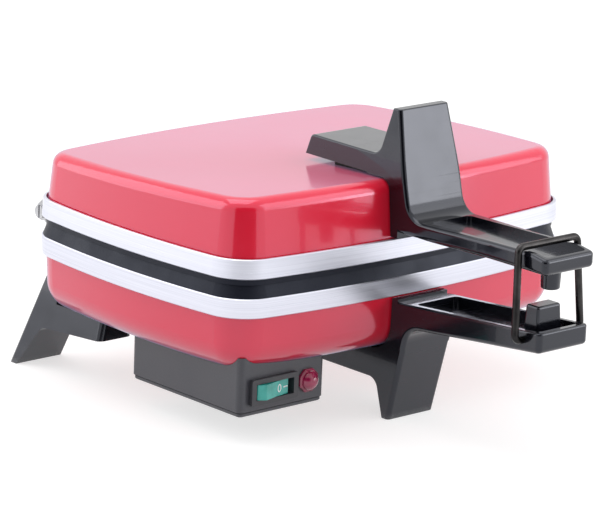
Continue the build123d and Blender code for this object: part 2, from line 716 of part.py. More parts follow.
def handle_gasket(form):
    """The heat-resisting pad between the arm and its shell."""
    width = HANDLE_WIDTH - 2 * GASKET_MARGIN
    middle = ARM_REAR_Y - GASKET_REAR - GASKET_LENGTH / 2
    pad = Pos(0, middle, ARM_UNDERSIDE) * Box(width, GASKET_LENGTH, ARM_THICKNESS, align=UNDER)
    pad -= dome(form, SHELL_INSET, SHELL_HEIGHT)
    for y in handle_screw_places():
        pad -= rod(LARGE_SHANK / 2 + SCREW_CLEARANCE, (0, y, BAND_TOP), (0, y, ARM_TOP))
    return pad


def handle_plan():
    """The upper handle from above: widest at the post, narrower along the arm and the grip."""
    taper_start = FRONT_Y - GRIP_TAPER_START
    right = [
        (ARM_REAR_WIDTH / 2, ARM_REAR_Y),
        (ROOT_WIDTH / 2, FRONT_Y),
        (ROOT_WIDTH / 2, taper_start),
        (HANDLE_WIDTH / 2, FRONT_Y - GRIP_TAPER_END),
        (HANDLE_WIDTH / 2, GRIP_END),
    ]
    left = [(-x, y) for x, y in reversed(right)]
    bends = [0, 0, GRIP_TAPER_RADIUS, GRIP_TAPER_RADIUS, 0]
    return make_face(FilletPolyline(*right, *left, radius=bends + bends[::-1], close=True))


def handle_front_view():
    """The upper handle from the front: upright sides that lean in above the waist of the post."""
    low = ROOT_WIDTH / 2
    high = low - (POST_TOP - POST_WAIST) * tan(radians(POST_SIDE_SLOPE))
    points = [(low, HEEL_END), (low, POST_WAIST), (high, POST_TOP), (-high, POST_TOP), (-low, POST_WAIST)]
    bends = [0, GRIP_TAPER_RADIUS, 0, 0, GRIP_TAPER_RADIUS, 0]
    return make_face(FilletPolyline(*points, (-low, HEEL_END), radius=bends, close=True))


def upper_outline():
    """Arm, post, grip and heel of the upper handle from the side."""
    post = [(rear_line(POST_TOP), POST_TOP), (front_line(POST_TOP), POST_TOP)]
    grip = [
        (front_line(GRIP_RIM_BACK), GRIP_RIM_BACK),
        (GRIP_NOSE_Y, GRIP_RIM_FRONT),
        (GRIP_END, GRIP_NOSE_TOP),
        (GRIP_END, GRIP_UNDERSIDE),
    ]
    points = arm_corners(ARM_TOP) + post + grip + heel_corners(GRIP_UNDERSIDE)
    nose = [GRIP_NOSE_RADIUS, 0, UNDERSIDE_EDGE]
    bends = [0, ARM_CORNER, POST_INNER_RADIUS, 0, 0, GRIP_ROOT_RADIUS] + nose + [0, 0, 0, 0]
    return side_outline(points, bends)


def upper_handle():
    """Arm, post and grip of the lid, with the peg under the grip."""
    body = widen(upper_outline(), FAR) & extrude(Pos(0, 0, -FAR) * handle_plan(), 2 * FAR)
    body &= extrude(Plane.XZ * handle_front_view(), FAR, both=True)
    half = HANDLE_WIDTH / 2
    middle = (POST_TOP + ARM_TOP) / 2
    rears = edges_near(body, [(side * half, rear_line(middle), middle) for side in (-1, 1)])
    body = fillet(rears, POST_REAR_CORNER)
    low = (GRIP_UNDERSIDE + GRIP_NOSE_TOP) / 2
    body = fillet(edges_near(body, [(side * half, GRIP_END, low) for side in (-1, 1)]), GRIP_END_CORNER)
    body = fillet(edges_near(body, [(0, GRIP_END, GRIP_NOSE_TOP)]), GRIP_EDGE)
    body = fillet(body.faces().sort_by(Axis.Z)[-1].edges(), POST_EDGE)
    start = FRONT_Y - GRIP_RECESS_START
    end = GRIP_END + GRIP_NOSE_WALL
    recess = RectangleRounded(HANDLE_WIDTH - 2 * GRIP_WALL, start - end, GRIP_RECESS_CORNER)
    body -= extrude(Pos(0, (start + end) / 2, GRIP_UNDERSIDE + GRIP_FLOOR) * recess, GRIP_ROOT_RADIUS)
    body -= handle_clearance(LID_FORM) + handle_screw_holes()
    body -= handle_gasket(LID_FORM)
    peg = extrude(Pos(0, BAIL_Y, GRIP_UNDERSIDE) * Circle(PEG_DIAMETER / 2), -PEG_LENGTH, taper=PEG_TAPER)
    peg = fillet(peg.faces().sort_by(Axis.Z)[0].edges(), PEG_EDGE)
    return body + peg


def rim_height(y):
    """Height of the lower grip's rims, which rise towards its end."""
    return -LOWER_RIM_END - (y - LOWER_GRIP_END) * RIM_SLOPE


def lower_grip():
    """The grip in front of the leg, tilted up towards its end."""
    knee_z = rim_height(front_line(HEEL_END)) - LOWER_ROOT_THICKNESS
    points = [
        (HEEL_Y, rim_height(HEEL_Y)),
        (LOWER_GRIP_END, rim_height(LOWER_GRIP_END)),
        (LOWER_GRIP_END, rim_height(LOWER_GRIP_END) - LOWER_GRIP_THICKNESS),
        (front_line(-knee_z), knee_z),
        (front_line(GRIP_ROOT_TOP), -GRIP_ROOT_TOP),
        (HEEL_Y, -GRIP_ROOT_TOP),
    ]
    grip = widen(side_outline(points, [0, 0, 0, LOWER_ROOT_RADIUS, 0, 0]), HANDLE_WIDTH)
    rim = rim_height(LOWER_GRIP_END)
    middle = rim - LOWER_GRIP_THICKNESS / 2
    ends = edges_near(grip, [(side * HANDLE_WIDTH / 2, LOWER_GRIP_END, middle) for side in (-1, 1)])
    grip = fillet(ends, GRIP_END_CORNER)
    grip = fillet(edges_near(grip, [(0, LOWER_GRIP_END, rim)]), LOWER_RIM_EDGE)
    return fillet(edges_near(grip, [(0, LOWER_GRIP_END, rim - LOWER_GRIP_THICKNESS)]), UNDERSIDE_EDGE)


def lower_trough():
    """The trough in the lower grip, parallel to its rims."""
    start = FRONT_Y - LOWER_RECESS_START
    end = LOWER_GRIP_END + GRIP_WALL
    middle = (start + end) / 2
    floor = rim_height(middle) - LOWER_GRIP_THICKNESS + LOWER_FLOOR
    frame = Plane(origin=(0, middle, floor), x_dir=(1, 0, 0), z_dir=(0, RIM_SLOPE, 1))
    width = HANDLE_WIDTH - 2 * GRIP_WALL
    return extrude(frame * RectangleRounded(width, start - end, GRIP_RECESS_CORNER), HEEL_END)


def stop_block():
    """The block in the lower trough, under the peg of the upper grip."""
    middle = LOWER_GRIP_END + BLOCK_SETBACK + BLOCK_LENGTH / 2
    foot = rim_height(middle) - LOWER_GRIP_THICKNESS + LOWER_FLOOR / 2
    outline = Pos(0, middle, foot) * Rectangle(BLOCK_WIDTH, BLOCK_LENGTH)
    block = extrude(outline, -BLOCK_TOP - foot, taper=BLOCK_DRAFT)
    ends = block.faces().sort_by(Axis.Z)
    sides = [edge for edge in block.edges() if edge not in ends[0].edges()]
    return fillet(sides, BLOCK_EDGE)


def lower_handle():
    """Arm, front leg and grip of the base, with the bail's two bearing holes."""
    body = flip(leg_and_arm() - handle_clearance(BASE_FORM) - handle_screw_holes())
    body += lower_grip() - lower_trough()
    body += stop_block()
    inner = HANDLE_WIDTH / 2 - BAIL_END_DEPTH - SCREW_TIP_GAP
    hole = rod(WIRE_DIAMETER / 2 + BAIL_FIT, (inner, BAIL_Y, BAIL_Z), (HANDLE_WIDTH, BAIL_Y, BAIL_Z))
    return body - hole - across(hole)


def bail():
    """The sprung wire loop, drawn upright over its pivots and then leant back on the upper grip."""
    tip = HANDLE_WIDTH / 2 - BAIL_END_DEPTH
    foot = BAIL_FOOT_SPAN / 2
    top = BAIL_TOP_SPAN / 2
    route = FilletPolyline(
        (-tip, 0, 0),
        (-foot, 0, 0),
        (-top, 0, BAIL_REACH),
        (top, 0, BAIL_REACH),
        (foot, 0, 0),
        (tip, 0, 0),
        radius=[BAIL_FOOT_BEND, BAIL_TOP_BEND, BAIL_TOP_BEND, BAIL_FOOT_BEND],
    )
    wire = sweep(Plane(origin=route @ 0, z_dir=route % 0) * Circle(WIRE_DIAMETER / 2), path=route)
    return Pos(0, BAIL_Y, BAIL_Z) * Rot(-BAIL_LEAN, 0, 0) * wire


# Rear feet, modelled as the right-hand one
def foot_screw_places():
    first = FOOT_FRONT_Y + FOOT_SCREW_INSET
    return [first, first + FOOT_SCREW_PITCH]


def rear_foot():
    """A splayed foot with an arm forward under the shell and a tip up behind it."""
    arm_bottom = -SHELL_HEIGHT - FOOT_ARM_THICKNESS
    knee_y = BACK_Y - FOOT_KNEE_SETBACK
    knee_z = arm_bottom - (knee_y - FOOT_FRONT_Y) * tan(radians(FOOT_ARM_TILT))
    inside_y = BACK_Y - SHELL_INSET - BASE_EDGE_RADIUS
    points = [
        (BACK_Y - FOOT_TIP_INSET, -FOOT_TIP_DROP),
        (SOLE_BACK_Y, -TABLE_DROP),
        (SOLE_BACK_Y - FOOT_SOLE_DEPTH, -TABLE_DROP),
        (knee_y, knee_z),
        (FOOT_FRONT_Y, arm_bottom),
        (FOOT_FRONT_Y, -SHELL_HEIGHT),
        (inside_y, -SHELL_HEIGHT),
        (inside_y, -FOOT_TIP_DROP),
    ]
    bends = [0, 0, 0, FOOT_KNEE_RADIUS, 0, 0, 0, 0]
    side = Plane.YZ * make_face(FilletPolyline(*points, radius=bends, close=True))
    front_view = Polyline(
        (FOOT_TIP_INNER_X, -FOOT_TIP_DROP),
        (FOOT_TIP_INNER_X + FOOT_TIP_WIDTH, -FOOT_TIP_DROP),
        (FOOT_SOLE_INNER_X + FOOT_SOLE_WIDTH, -TABLE_DROP),
        (FOOT_SOLE_INNER_X, -TABLE_DROP),
        close=True,
    )
    foot = extrude(side, BODY_WIDTH) & extrude(Plane.XZ * make_face(front_view), FAR, both=True)
    front_z = arm_bottom + FOOT_ARM_THICKNESS / 2
    arm_edges = edges_near(foot, [(x, FOOT_FRONT_Y, front_z) for x in (FOOT_SOLE_INNER_X, BODY_WIDTH / 2)])
    foot = fillet(arm_edges, FOOT_ARM_CORNER)
    back_z = -(FOOT_TIP_DROP + TABLE_DROP) / 2
    back_y = (BACK_Y - FOOT_TIP_INSET + SOLE_BACK_Y) / 2
    back_edges = edges_near(foot, [(x, back_y, back_z) for x in (FOOT_SOLE_INNER_X, BODY_WIDTH / 2)])
    foot = fillet(back_edges, FOOT_BACK_CORNER)
    foot -= flip(dome(BASE_FORM, SHELL_INSET - FOOT_GAP, SHELL_HEIGHT))
    deep = -SHELL_HEIGHT - FOOT_SCREW_BITE - SCREW_TIP_GAP
    for y in foot_screw_places():
        foot -= rod(SMALL_SHANK / 2, (FOOT_SCREW_X, y, -SHELL_HEIGHT), (FOOT_SCREW_X, y, deep))
    return foot


def foot_screws():
    """The two screws of the right-hand foot, driven from inside the shell."""
    return [
        screw(
            (FOOT_SCREW_X, y, -SHELL_HEIGHT - FOOT_SCREW_BITE),
            (FOOT_SCREW_X, y, -SHELL_FLOOR),
            SMALL_SHANK,
            SMALL_HEAD,
            SMALL_HEAD_HEIGHT,
        )
        for y in foot_screw_places()
    ]


# Hinges, modelled as the right-hand one on the upper band
def rivet_height():
    return RIM_TOP + BAND_HEIGHT / 2


def back_surface(x):
    """Where the band's rear face is, at a distance from the middle."""
    return (FRONT_RADIUS**2 - x**2) ** 0.5 - FRONT_RADIUS + BODY_DEPTH / 2


def rivet_places(outer):
    """The two rivets of a bracket whose ear's outer face is at x = outer."""
    middle = outer - (FLANGE_WIDTH + EAR_SHEET) / 2
    return [middle - RIVET_PITCH / 2, middle + RIVET_PITCH / 2]


def hinge_bracket(outer):
    """An ear round the pivot, with a flange that lies on the band; outer is its outer face."""
    skin = slab(-FLANGE_SHEET, RIM_TOP, BAND_TOP, BAND_FLARE) - slab(0, RIM_TOP, BAND_TOP, BAND_FLARE)
    height = BAND_HEIGHT - 2 * FLANGE_MARGIN
    window = Pos(outer - FLANGE_WIDTH / 2, PIVOT_Y, rivet_height()) * Box(FLANGE_WIDTH, BODY_DEPTH, height)
    root = Pos(PIVOT_Y - EAR_REACH + EAR_ROOT / 2, rivet_height()) * Rectangle(EAR_ROOT, height)
    eye = Pos(PIVOT_Y, 0) * Circle(EAR_RADIUS)
    ear = make_face(make_hull(root.edges() + eye.edges()))
    bracket = extrude(Plane.YZ.offset(outer - EAR_SHEET) * ear, EAR_SHEET)
    bracket += skin & window
    bracket -= slab(0, RIM_TOP, BAND_TOP, BAND_FLARE)
    bracket -= rod(HINGE_PIN_DIAMETER / 2 + HINGE_FIT, (0, PIVOT_Y, 0), (FAR, PIVOT_Y, 0))
    for x in rivet_places(outer):
        bracket -= rod(RIVET_DIAMETER / 2, (x, 0, rivet_height()), (x, FAR, rivet_height()))
    return bracket


def hinge_rivets(outer):
    """The bracket's two rivets, flush with the inside of the band."""
    rivets = []
    for x in rivet_places(outer):
        face = back_surface(x) + FLANGE_SHEET
        stem = rod(RIVET_DIAMETER / 2, (x, 0, rivet_height()), (x, face, rivet_height()))
        stem -= slab(BAND_WALL, RIM_TOP, BAND_TOP)
        top = (x, face + RIVET_HEAD_HEIGHT, rivet_height())
        head = rod(RIVET_HEAD_DIAMETER / 2, (x, 0, rivet_height()), top)
        head -= slab(-FLANGE_SHEET, RIM_TOP, BAND_TOP, BAND_FLARE)
        rivets.append(stem + head)
    return rivets


def base_ear():
    """The outer face of the base's ear, just inside the lid's."""
    return HINGE_X - EAR_GAP


def lid_ear():
    """The outer face of the lid's ear."""
    return HINGE_X + EAR_SHEET


def hinge_pin():
    """The slotted hinge screw, headed outside the lid's ear and peened inside the base's."""
    seat = lid_ear() + EAR_GAP
    inner = base_ear() - EAR_SHEET - HINGE_WASHER_HEIGHT
    ends = (inner, PIVOT_Y, 0), (seat, PIVOT_Y, 0)
    pin = screw(*ends, HINGE_PIN_DIAMETER, HINGE_HEAD_DIAMETER, HINGE_HEAD_HEIGHT)
    return pin + rod(RIVET_HEAD_DIAMETER / 2, (inner - RIVET_HEAD_HEIGHT, PIVOT_Y, 0), (inner, PIVOT_Y, 0))


def hinge_washer():
    inner = base_ear() - EAR_SHEET - HINGE_WASHER_HEIGHT
    start = (inner, PIVOT_Y, 0)
    end = (inner + HINGE_WASHER_HEIGHT, PIVOT_Y, 0)
    return rod(HINGE_WASHER_DIAMETER / 2, start, end) - rod(HINGE_PIN_DIAMETER / 2 + HINGE_FIT, start, end)


# Switch box
def columns():
    """The box's four screw columns."""
    front = BOX_FRONT_Y + COLUMN_FRONT_SETBACK
    back = BOX_BACK_Y - COLUMN_REAR_SETBACK
    half = COLUMN_SPACING / 2
    return [(x, y) for x in (BOX_CENTRE_X - half, BOX_CENTRE_X + half) for y in (front, back)]


def box_outline(inset):
    size_x = BOX_WIDTH - 2 * inset
    size_y = BOX_DEPTH - 2 * inset
    return Pos(BOX_CENTRE_X, BOX_CENTRE_Y) * RectangleRounded(size_x, size_y, BOX_CORNER - inset)


def switch_box():
    """The moulded box under the shell, open at the bottom, with its openings and screw columns."""
    ceiling = -SHELL_HEIGHT - BOX_WALL
    box = extrude(Pos(0, 0, -BOX_FLOOR) * box_outline(0), BOX_HEIGHT + BOX_SKIRT)
    box -= extrude(Pos(0, 0, -BOX_FLOOR) * box_outline(BOX_WALL), BOX_HEIGHT - BOX_WALL)
    box -= flip(dome(BASE_FORM, SHELL_INSET - BOX_GAP, SHELL_HEIGHT))
    for x, y in columns():
        box += rod(COLUMN_DIAMETER / 2, (x, y, -BOX_FLOOR), (x, y, ceiling))
        box -= rod(COVER_SCREW_SHANK / 2, (x, y, -BOX_FLOOR), (x, y, -SHELL_HEIGHT))
    opening = Box(SWITCH_WIDTH + 2 * SWITCH_CLEARANCE, 4 * BOX_WALL, SWITCH_HEIGHT + 2 * SWITCH_CLEARANCE)
    box -= Pos(SWITCH_X, BOX_FRONT_Y, SWITCH_Z) * opening
    lamp = LAMP_BARREL / 2 + SWITCH_CLEARANCE
    box -= rod(lamp, (LAMP_X, BOX_FRONT_Y, LAMP_Z), (LAMP_X, BOX_FRONT_Y + BOX_WALL, LAMP_Z))
    gland = GLAND_BARREL / 2 + SWITCH_CLEARANCE
    box -= rod(gland, (GLAND_X, BOX_BACK_Y - BOX_WALL, GLAND_Z), (GLAND_X, BOX_BACK_Y, GLAND_Z))
    neck = GROMMET_DIAMETER / 2 - GROMMET_GROOVE
    return box - rod(neck, (GROMMET_X, GROMMET_Y, ceiling), (GROMMET_X, GROMMET_Y, -SHELL_HEIGHT))


def box_cover():
    """The box's bottom plate, a little smaller than the box."""
    outline = Pos(0, 0, -BOX_FLOOR - COVER_GROOVE) * box_outline(COVER_INSET)
    cover = extrude(outline, COVER_GROOVE - COVER_THICKNESS)
    cover = chamfer(cover.faces().sort_by(Axis.Z)[0].edges(), COVER_EDGE)
    cover += extrude(Pos(0, 0, -BOX_FLOOR) * box_outline(COVER_GROOVE_INSET), -COVER_GROOVE)
    under = -BOX_FLOOR - COVER_THICKNESS
    for x, y in columns():
        hole = COVER_SCREW_SHANK + SCREW_CLEARANCE
        cover -= rod(hole / 2, (x, y, under), (x, y, -BOX_FLOOR))
        cover -= sink((x, y, under), Vector(0, 0, -1), hole, COVER_SCREW_HEAD)
    return cover


def cover_screws():
    under = -BOX_FLOOR - COVER_THICKNESS
    tip = under + COVER_SCREW_LENGTH
    sizes = (COVER_SCREW_SHANK, COVER_SCREW_HEAD)
    return [countersunk((x, y, tip), (x, y, under), *sizes) for x, y in columns()]


def box_screws():
    """The screws that hold the box from inside the shell."""
    tip = -SHELL_HEIGHT - BOX_SCREW_BITE
    return [
        screw((x, y, tip), (x, y, -SHELL_FLOOR), COVER_SCREW_SHANK, COVER_SCREW_HEAD, SMALL_HEAD_HEIGHT)
        for x, y in columns()
    ]


def grommet():
    """The rubber grommet where the leads pass from the box into the shell."""
    top = -SHELL_FLOOR
    bottom = -SHELL_HEIGHT - BOX_WALL
    lip = GROMMET_DIAMETER / 2
    ring = rod(lip - GROMMET_GROOVE, (GROMMET_X, GROMMET_Y, bottom), (GROMMET_X, GROMMET_Y, top))
    ring += rod(lip, (GROMMET_X, GROMMET_Y, bottom - GROMMET_LIP), (GROMMET_X, GROMMET_Y, bottom))
    ring += rod(lip, (GROMMET_X, GROMMET_Y, top), (GROMMET_X, GROMMET_Y, top + GROMMET_LIP))
    low = (GROMMET_X, GROMMET_Y, bottom - GROMMET_LIP)
    return ring - rod(GROMMET_BORE / 2, low, (GROMMET_X, GROMMET_Y, top + GROMMET_LIP))


# Rocker switch and lamp
def rocker_window():
    """The space in the switch that the rocker swings in."""
    half = ROCKER_RADIUS + ROCKER_GAP
    sag = half * sin(radians(ROCKER_THROW))
    depth = ROCKER_PIVOT_DEPTH + ROCKER_BACK + sag + ROCKER_GAP
    height = ROCKER_HEIGHT + 2 * ROCKER_GAP
    return Pos(SWITCH_X, BEZEL_Y, SWITCH_Z) * Box(2 * half, 2 * depth, height)


def switch_body():
    """The switch's bezel and body, clipped in the box's front wall, with three tabs behind."""
    face = Plane.XZ.offset(-BEZEL_Y) * Pos(SWITCH_X, SWITCH_Z)
    bezel = extrude(face * RectangleRounded(BEZEL_WIDTH, BEZEL_HEIGHT, BEZEL_CORNER), -BEZEL_DEPTH)
    body = Box(SWITCH_WIDTH, SWITCH_LENGTH, SWITCH_HEIGHT)
    body = Pos(SWITCH_X, BOX_FRONT_Y + SWITCH_LENGTH / 2, SWITCH_Z) * body
    body += bezel
    body -= rocker_window()
    reach = ROCKER_HEIGHT / 2 + TRUNNION_LENGTH + ROCKER_GAP
    low = (SWITCH_X, ROCKER_Y, SWITCH_Z - reach)
    body -= rod(TRUNNION_DIAMETER / 2 + TRUNNION_FIT, low, (SWITCH_X, ROCKER_Y, SWITCH_Z + reach))
    for step in (-1, 0, 1):
        start = (SWITCH_X + step * TAB_PITCH, BOX_FRONT_Y + SWITCH_LENGTH + TAB_LENGTH / 2, SWITCH_Z)
        body += Pos(*start) * Box(TAB_SHEET, TAB_LENGTH, TAB_WIDTH)
    return body


def rocker():
    """The rocker, a shallow V with bevelled ends, with its right end pressed in."""
    face = -ROCKER_PIVOT_DEPTH - ROCKER_RISE
    flat = ROCKER_RADIUS - ROCKER_BEVEL
    right = [(flat, face), (ROCKER_RADIUS, face + ROCKER_BEVEL), (ROCKER_RADIUS, ROCKER_BACK)]
    left = [(-x, y) for x, y in reversed(right)]
    outline = Polyline((0, face + ROCKER_VALLEY), *right, *left, close=True)
    section = make_face(outline) & Circle(ROCKER_RADIUS)
    body = extrude(section, ROCKER_HEIGHT / 2, both=True)
    body += Cylinder(TRUNNION_DIAMETER / 2, ROCKER_HEIGHT + 2 * TRUNNION_LENGTH)
    return Pos(SWITCH_X, ROCKER_Y, SWITCH_Z) * Rot(0, 0, ROCKER_THROW) * body


def lamp_lens():
    """The red faceted bezel and dome of the indicator lamp, in one piece."""
    crown = BOX_FRONT_Y - LAMP_BEZEL_HEIGHT
    bezel = prism(LAMP_BEZEL, LAMP_BEZEL_SIDES, (LAMP_X, BOX_FRONT_Y, LAMP_Z), (LAMP_X, crown, LAMP_Z))
    bezel = chamfer(bezel.faces().sort_by(Axis.Y)[0].edges(), LAMP_BEZEL_EDGE)
    radius = LAMP_DOME_DIAMETER / 2
    centre = crown - LAMP_DOME_BASE + (LAMP_DOME_SPHERE**2 - radius**2) ** 0.5
    barrel = rod(radius, (LAMP_X, crown, LAMP_Z), (LAMP_X, crown - LAMP_BEZEL, LAMP_Z))
    return bezel + (barrel & Pos(LAMP_X, centre, LAMP_Z) * Sphere(LAMP_DOME_SPHERE))


def lamp_holder():
    """The lamp's barrel behind the lens, with two tabs."""
    end = BOX_FRONT_Y + LAMP_LENGTH
    barrel = rod(LAMP_BARREL / 2, (LAMP_X, BOX_FRONT_Y, LAMP_Z), (LAMP_X, end, LAMP_Z))
    for step in (-1, 1):
        tab = Box(TAB_SHEET, TAB_LENGTH, TAB_WIDTH / 2)
        barrel += Pos(LAMP_X + step * LAMP_BARREL / 4, end + TAB_LENGTH / 2, LAMP_Z) * tab
    return barrel


def lamp_nut():
    start = BOX_FRONT_Y + BOX_WALL
    end = start + LAMP_NUT_HEIGHT
    nut = prism(LAMP_NUT, 6, (LAMP_X, start, LAMP_Z), (LAMP_X, end, LAMP_Z))
    return nut - rod(LAMP_BARREL / 2, (LAMP_X, start, LAMP_Z), (LAMP_X, end, LAMP_Z))


# Cord gland, terminals and leads
def cord_gland():
    """The gland in the box's rear wall, with a straight bore."""
    outer = BOX_BACK_Y + GLAND_FLANGE_HEIGHT
    inner = BOX_BACK_Y - GLAND_LENGTH
    gland = rod(GLAND_BARREL / 2, (GLAND_X, inner, GLAND_Z), (GLAND_X, BOX_BACK_Y, GLAND_Z))
    gland += rod(GLAND_FLANGE / 2, (GLAND_X, BOX_BACK_Y, GLAND_Z), (GLAND_X, outer, GLAND_Z))
    return gland - rod(GLAND_BORE / 2, (GLAND_X, inner, GLAND_Z), (GLAND_X, outer, GLAND_Z))


def gland_nut():
    start = BOX_BACK_Y - BOX_WALL
    end = start - GLAND_NUT_HEIGHT
    nut = prism(GLAND_NUT, 6, (GLAND_X, start, GLAND_Z), (GLAND_X, end, GLAND_Z))
    return nut - rod(GLAND_BARREL / 2, (GLAND_X, start, GLAND_Z), (GLAND_X, end, GLAND_Z))


def terminal_poles():
    middle = (TERMINAL_POLES - 1) / 2
    return [BOX_CENTRE_X + (step - middle) * TERMINAL_PITCH for step in range(TERMINAL_POLES)]


def terminal_block():
    """The ceramic terminal block under the box's ceiling."""
    block = Box(TERMINAL_WIDTH, TERMINAL_DEPTH, TERMINAL_HEIGHT)
    block = fillet(block.edges().filter_by(Axis.Z), TERMINAL_CORNER)
    block = Pos(BOX_CENTRE_X, TERMINAL_Y, TERMINAL_Z) * block
    for x in terminal_poles():
        block -= rod(TERMINAL_HOLE / 2, (x, BOX_FRONT_Y, TERMINAL_Z), (x, BOX_BACK_Y, TERMINAL_Z))
    return block


def lead(points, bend):
    """An insulated lead along straight runs joined by bends."""
    route = FilletPolyline(*points, radius=bend)
    return sweep(Plane(origin=route @ 0, z_dir=route % 0) * Circle(LEAD_DIAMETER / 2), path=route)


def element_leads():
    """Two leads from the terminal block, through the grommet, to the lower element's pins."""
    leads = []
    start_y = TERMINAL_Y + TERMINAL_DEPTH / 2 - LEAD_BITE
    pin_z = -(LOWER_FACE + PLATE_THICKNESS + ELEMENT_DIAMETER / 2 + PIN_DIAMETER / 2)
    for side in (-1, 1):
        x = GROMMET_X + side * TERMINAL_PITCH / 2
        pin_x = side * LEAD_PIN_X
        points = [
            (x, start_y, TERMINAL_Z),
            (x, GROMMET_Y, TERMINAL_Z),
            (x, GROMMET_Y, -LEAD_LEVEL),
            (pin_x, ELEMENT_DEPTH / 2, -LEAD_LEVEL),
            (pin_x, ELEMENT_DEPTH / 2, pin_z),
        ]
        leads.append(lead(points, LEAD_BEND))
    return leads


def switch_leads():
    """Two short leads from the switch's outer tabs to the terminal block."""
    start_y = BOX_FRONT_Y + SWITCH_LENGTH + TAB_LENGTH
    end_y = TERMINAL_Y - TERMINAL_DEPTH / 2
    poles = terminal_poles()
    leads = []
    for side, pole in ((-1, poles[0]), (1, poles[1])):
        tab_x = SWITCH_X + side * TAB_PITCH
        points = [
            (tab_x, start_y, SWITCH_Z),
            (tab_x, start_y + SHORT_LEAD_STRAIGHT, SWITCH_Z),
            (pole, end_y - SHORT_LEAD_STRAIGHT, TERMINAL_Z),
            (pole, end_y + LEAD_BITE, TERMINAL_Z),
        ]
        leads.append(lead(points, SHORT_LEAD_BEND))
    return leads


# Saving
def solids_of(pieces):
    """Every solid in a piece or a list of pieces."""
    group = pieces if isinstance(pieces, list) else [pieces]
    return [solid for piece in group for solid in piece.solids()]


def save(name, pieces):
    """Writes one node, moved so that the feet stand on the table."""
    export_step(PLACE * Compound(children=solids_of(pieces)), os.path.join("parts", name + ".step"))


def both(pieces):
    """Right-hand pieces together with their left-hand copies."""
    group = pieces if isinstance(pieces, list) else [pieces]
    return group + [across(piece) for piece in group]


def upper_shell_holes():
    hole = LARGE_SHANK + 2 * SCREW_CLEARANCE
    return [(0, y, hole) for y in handle_screw_places()]


def lower_shell_holes():
    small = SMALL_SHANK + 2 * SCREW_CLEARANCE
    feet = [(side * FOOT_SCREW_X, y, small) for side in (-1, 1) for y in foot_screw_places()]
    box = [(x, y, COVER_SCREW_SHANK + 2 * SCREW_CLEARANCE) for x, y in columns()]
    neck = GROMMET_DIAMETER - 2 * GROMMET_GROOVE
    return upper_shell_holes() + feet + box + [(GROMMET_X, GROMMET_Y, neck)]


def bracket_rivets(outer):
    return [side * x for side in (-1, 1) for x in rivet_places(outer)]


def save_lid():
    save("upper_shell", shell(LID_FORM, upper_shell_holes()))
    save("upper_band", band(bracket_rivets(lid_ear())))
    save("upper_plate", upper_plate())
    save("upper_plate_clips", plate_clips(LID_FORM, UPPER_FACE))
    save("upper_plate_screws", plate_screws(UPPER_FACE))
    save("upper_element", element(UPPER_FACE))
    save("upper_tray", tray(UPPER_FACE, []))
    save("upper_tray_screws", tray_screws(UPPER_FACE))
    save("upper_handle", upper_handle())
    save("upper_handle_screws", handle_screws(LID_FORM))
    save("upper_handle_gasket", handle_gasket(LID_FORM))
    bracket = hinge_bracket(lid_ear())
    save("lid_hinge_right", bracket)
    save("lid_hinge_left", across(bracket))
    save("lid_hinge_rivets", both(hinge_rivets(lid_ear())))


def save_base():
    sensor = (0, THERMOSTAT_Y, THERMOSTAT_FLANGE + 2 * THERMOSTAT_HOLE_GAP)
    save("lower_shell", flip(shell(BASE_FORM, lower_shell_holes())))
    save("lower_band", flip(band(bracket_rivets(base_ear()))))
    save("lower_plate", flip(lower_plate()))
    save("lower_plate_clips", [flip(clip) for clip in plate_clips(BASE_FORM, LOWER_FACE)])
    save("lower_plate_screws", [flip(piece) for piece in plate_screws(LOWER_FACE)])
    save("lower_element", flip(element(LOWER_FACE)))
    save("lower_tray", flip(tray(LOWER_FACE, [sensor])))
    save("lower_tray_screws", [flip(piece) for piece in tray_screws(LOWER_FACE)])
    save("thermostat", flip(thermostat()))
    save("lower_handle", lower_handle())
    save("lower_handle_screws", [flip(piece) for piece in handle_screws(BASE_FORM)])
    save("lower_handle_gasket", flip(handle_gasket(BASE_FORM)))
    foot = rear_foot()
    save("rear_foot_right", foot)
    save("rear_foot_left", across(foot))
    save("rear_foot_screws", both(foot_screws()))
    bracket = flip(hinge_bracket(base_ear()))
    save("base_hinge_right", bracket)
    save("base_hinge_left", across(bracket))
    save("base_hinge_rivets", both([flip(rivet) for rivet in hinge_rivets(base_ear())]))
    save("hinge_pins", both(hinge_pin()))
    save("hinge_washers", both(hinge_washer()))


def save_controls():
    save("switch_box", switch_box())
    save("box_cover", box_cover())
    save("cover_screws", cover_screws())
    save("box_screws", box_screws())
    save("lead_grommet", grommet())
    save("switch_body", switch_body())
    save("rocker", rocker())
    save("lamp_lens", lamp_lens())
    save("lamp_holder", lamp_holder())
    save("lamp_nut", lamp_nut())
    save("cord_gland", cord_gland())
    save("gland_nut", gland_nut())
    save("terminal_block", terminal_block())
    save("element_leads", element_leads())
    save("switch_leads", switch_leads())
    save("bail", bail())


os.makedirs("parts", exist_ok=True)
save_lid()
save_base()
save_controls()
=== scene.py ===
import json
import math

